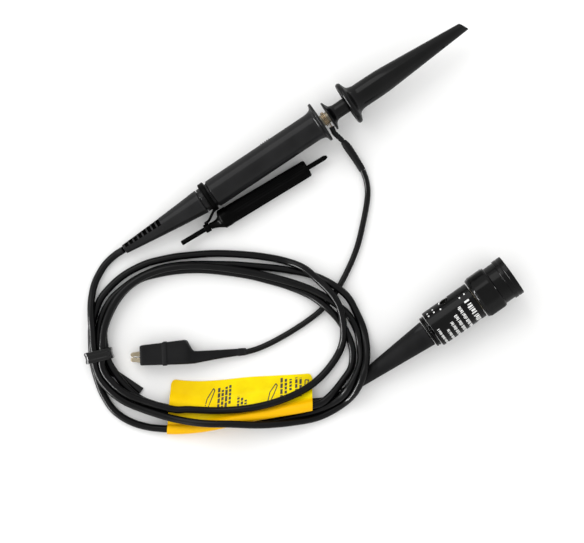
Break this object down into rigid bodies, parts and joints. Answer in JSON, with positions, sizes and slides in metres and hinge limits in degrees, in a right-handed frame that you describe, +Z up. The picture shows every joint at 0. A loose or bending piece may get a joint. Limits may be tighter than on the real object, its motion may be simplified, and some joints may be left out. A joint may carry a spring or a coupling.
{
  "type": "oscilloscope probe",
  "caption": "Passive oscilloscope probe with a spring hook tip, a ground lead with an alligator clip, a trimmer tool, a coiled cable with a tag and a bayonet connector box.",
  "frame": {"origin": "on the table, under the middle of the probe head with its adjustment tool", "axes": "+X along the probe head towards its hook tip, +Y away from the adjustment tool, +Z up"},
  "size_m": [0.1738, 0.0953, 0.0163],
  "materials": {
    "black_plastic": "moulded, satin black",
    "black_rubber": "matt black",
    "cord_jacket": "smooth black jacket",
    "nickel": "nickel plated",
    "gilt": "gold plated",
    "spring_steel": "bright spring steel",
    "white_insulator": "white insulator",
    "board_green": "coated circuit board",
    "tag_yellow": "printed plastic film"
  },
  "bodies": {
    "probe": {"probe_body_shell": "black_plastic", "relief_collar": "black_plastic", "compensation_box_shell": "black_plastic", "cable_tie": "black_plastic", "rear_strain_relief": "black_rubber", "plug_strain_relief": "black_rubber", "alligator_boot": "black_rubber", "ground_clip_sleeve": "black_rubber", "ground_lead_boot": "black_rubber", "main_cable": "cord_jacket", "ground_lead_wire": "cord_jacket", "crimp_ferrule": "nickel", "ground_barrel": "nickel", "lower_jaw": "nickel", "jaw_pivot_pin": "nickel", "connector_body": "nickel", "probe_tip_pin": "gilt", "ground_clip_ring": "gilt", "center_pin": "gilt", "ground_contact_sleeve": "spring_steel", "wave_washer": "spring_steel", "nose_insulator": "white_insulator", "tip_resistor": "white_insulator", "trimmer_capacitor": "white_insulator", "connector_dielectric": "white_insulator", "attenuator_board": "board_green", "compensation_board": "board_green", "yellow_tag": "tag_yellow"},
    "range_switch": {"range_switch_slider": "black_plastic"},
    "hook_tip": {"hook_base": "black_plastic", "hook_socket": "gilt", "hook_wire": "spring_steel", "hook_spring": "spring_steel"},
    "hook_sleeve": {"hook_sleeve": "black_plastic"},
    "adjustment_tool": {"tool_clip": "black_plastic", "tool_handle": "black_plastic", "tool_rod": "black_plastic"},
    "clip_jaw": {"upper_jaw": "nickel"},
    "coupling": {"coupling_sleeve": "black_plastic"},
    "trimmer": {"trimmer_screw": "nickel"}
  },
  "joints": [
    {"name": "hook_sleeve_slide", "type": "slide", "parent": "hook_tip", "child": "hook_sleeve", "axis": [-0.9992, 0, -0.0408], "range_m": [0, 0.005], "stiffness_N_per_m": 400, "deforming": ["hook_spring"]},
    {"name": "hook_tip_pull_off", "type": "slide", "parent": "probe", "child": "hook_tip", "axis": [0.9992, 0, 0.0408], "range_m": [0, 0.025]},
    {"name": "range_switch_slide", "type": "slide", "parent": "probe", "child": "range_switch", "axis": [0.9992, 0, 0.0408], "range_m": [0, 0.003]},
    {"name": "adjustment_tool_swing", "type": "hinge", "parent": "probe", "child": "adjustment_tool", "pos_m": [-0.03568, 0.003, 0.00551], "axis": [-0.9992, 0, -0.0408], "range_deg": [0, 180]},
    {"name": "clip_jaw_open", "type": "hinge", "parent": "probe", "child": "clip_jaw", "pos_m": [-0.07697, -0.03472, 0.0035], "axis": [0, 0, -1], "range_deg": [0, 8], "stiffness_Nm_per_rad": 0.02},
    {"name": "coupling_turn", "type": "hinge", "parent": "probe", "child": "coupling", "pos_m": [0.02707, -0.07632, 0.00832], "axis": [0.9969, 0.0296, 0.0732], "continuous": true},
    {"name": "trimmer_turn", "type": "hinge", "parent": "probe", "child": "trimmer", "pos_m": [0.01145, -0.07214, 0.00907], "axis": [-0.0549, 0.926, 0.3736], "continuous": true}
  ]
}
